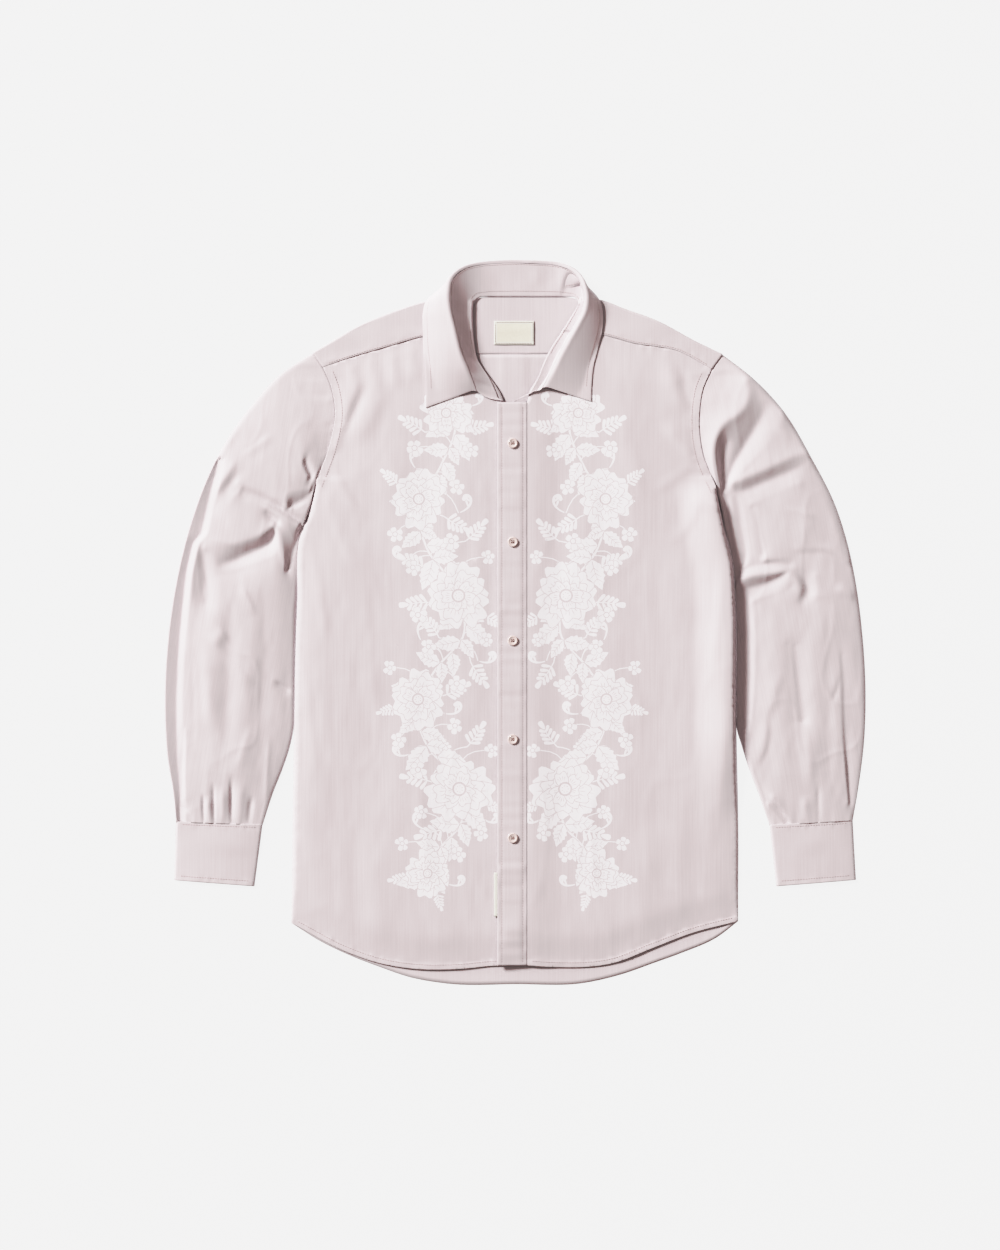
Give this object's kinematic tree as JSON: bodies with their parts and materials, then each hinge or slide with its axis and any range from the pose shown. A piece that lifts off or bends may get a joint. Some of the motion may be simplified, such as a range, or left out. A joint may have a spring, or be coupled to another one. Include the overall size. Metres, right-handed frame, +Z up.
{
  "type": "long-sleeved poplin shirt, laid flat",
  "caption": "Long-sleeved poplin shirt with turn-down collar, buttoned placket, shoulder yoke, plain cuffs and a curved hem, lying flat on its back.",
  "frame": {"origin": "centre of the whole shirt's outline, on the surface that it lies on", "axes": "+Z up from the surface, +Y from the hem towards the collar, +X towards the wearer's left, which is the picture's right"},
  "size_m": [0.8003, 0.8258, 0.0306],
  "materials": {
    "poplin": "fine plain-weave cotton, dusty pink-grey, with a white floral print on the fronts",
    "label_weave": "pale woven label, bare",
    "pearl": "pale pink pearl, four holes"
  },
  "bodies": {
    "root": {"back_panel": "poplin", "yoke": "poplin", "front_right": "poplin", "front_left": "poplin", "placket": "poplin", "sleeve_right": "poplin", "sleeve_left": "poplin", "cuff_right": "poplin", "cuff_left": "poplin", "collar_stand": "poplin", "collar_leaf": "poplin", "neck_label": "label_weave", "placket_tab": "label_weave", "button_1": "pearl", "button_2": "pearl", "button_3": "pearl", "button_4": "pearl", "button_5": "pearl"}
  },
  "joints": []
}
